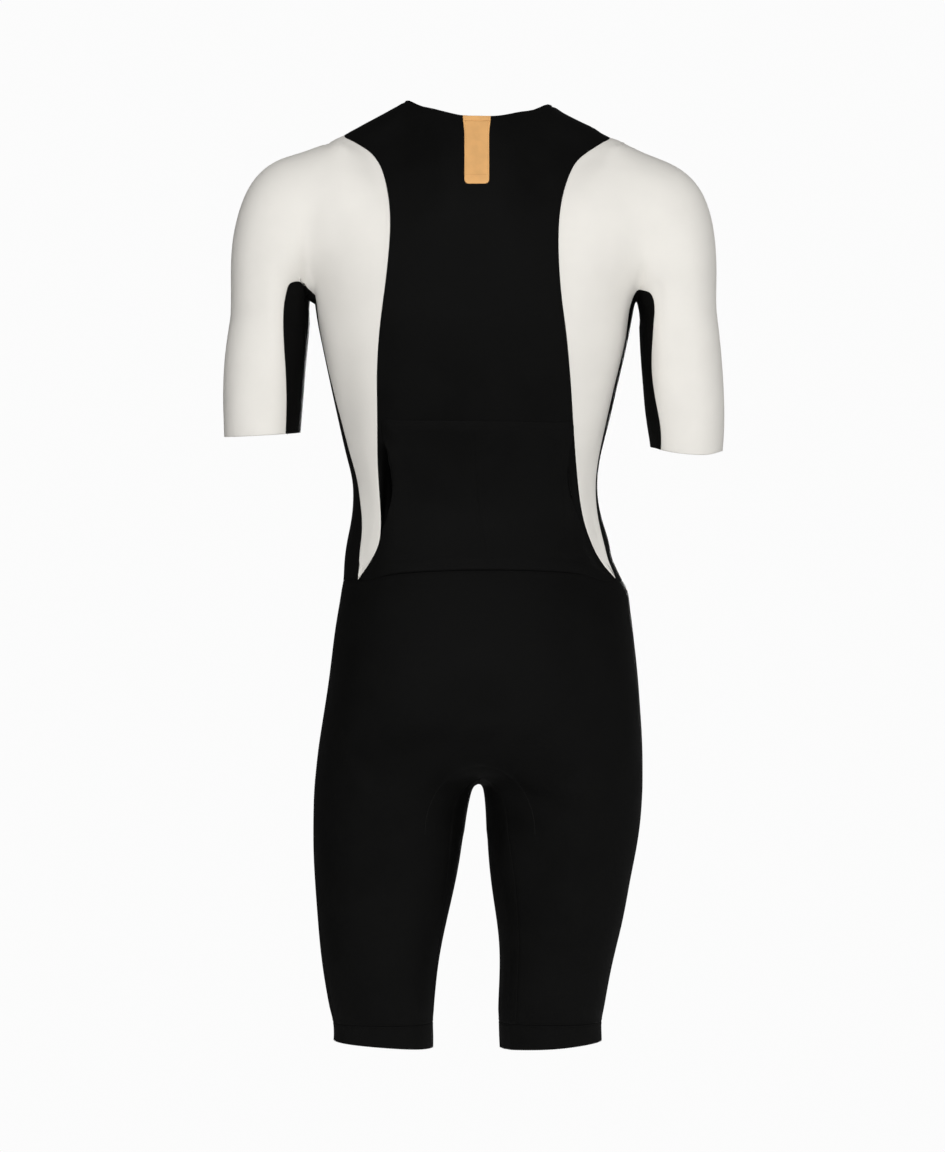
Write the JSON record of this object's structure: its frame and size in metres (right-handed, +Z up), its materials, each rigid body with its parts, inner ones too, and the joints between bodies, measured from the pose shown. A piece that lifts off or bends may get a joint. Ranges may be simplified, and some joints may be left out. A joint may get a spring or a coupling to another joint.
{
  "type": "triathlon suit",
  "caption": "Short-sleeved one-piece triathlon suit filled out as if worn, with front zip, light raglan sleeves, dark body and shorts, back pocket and a small tab at the neck.",
  "frame": {"origin": "between the two high points of the neckline, where the suit sits on its wearer's shoulders", "axes": "+Z up along the body, +Y out of the chest, +X towards the wearer's right, and the back faces -Y"},
  "size_m": [0.5256, 0.2406, 0.9932],
  "materials": {
    "black_knit": "matte stretch knit with a faint sheen",
    "white_knit": "matte warm white fine-ribbed stretch knit",
    "tab_fabric": "matte tan woven tape, plain",
    "zip_tape": "matte woven zip tape",
    "zip_metal": "satin black"
  },
  "bodies": {
    "suit": {"back_centre": "black_knit", "back_pocket": "black_knit", "front_left": "black_knit", "front_right": "black_knit", "hem_band_left": "black_knit", "hem_band_right": "black_knit", "inner_leg_left": "black_knit", "inner_leg_right": "black_knit", "neck_tab": "tab_fabric", "shorts_back": "black_knit", "shorts_front": "black_knit", "side_left": "black_knit", "side_right": "black_knit", "sleeve_left": "white_knit", "sleeve_right": "white_knit", "zip_slider": "zip_metal", "zip_tape_left": "zip_tape", "zip_tape_right": "zip_tape"},
    "pull": {"zip_pull": "zip_metal"}
  },
  "joints": [
    {"name": "pull_hinge", "type": "hinge", "parent": "suit", "child": "pull", "pos_m": [-0.00352, 0.07639, -0.08223], "axis": [0.9992, 0.0163, -0.0353], "range_deg": [0, 160]}
  ]
}
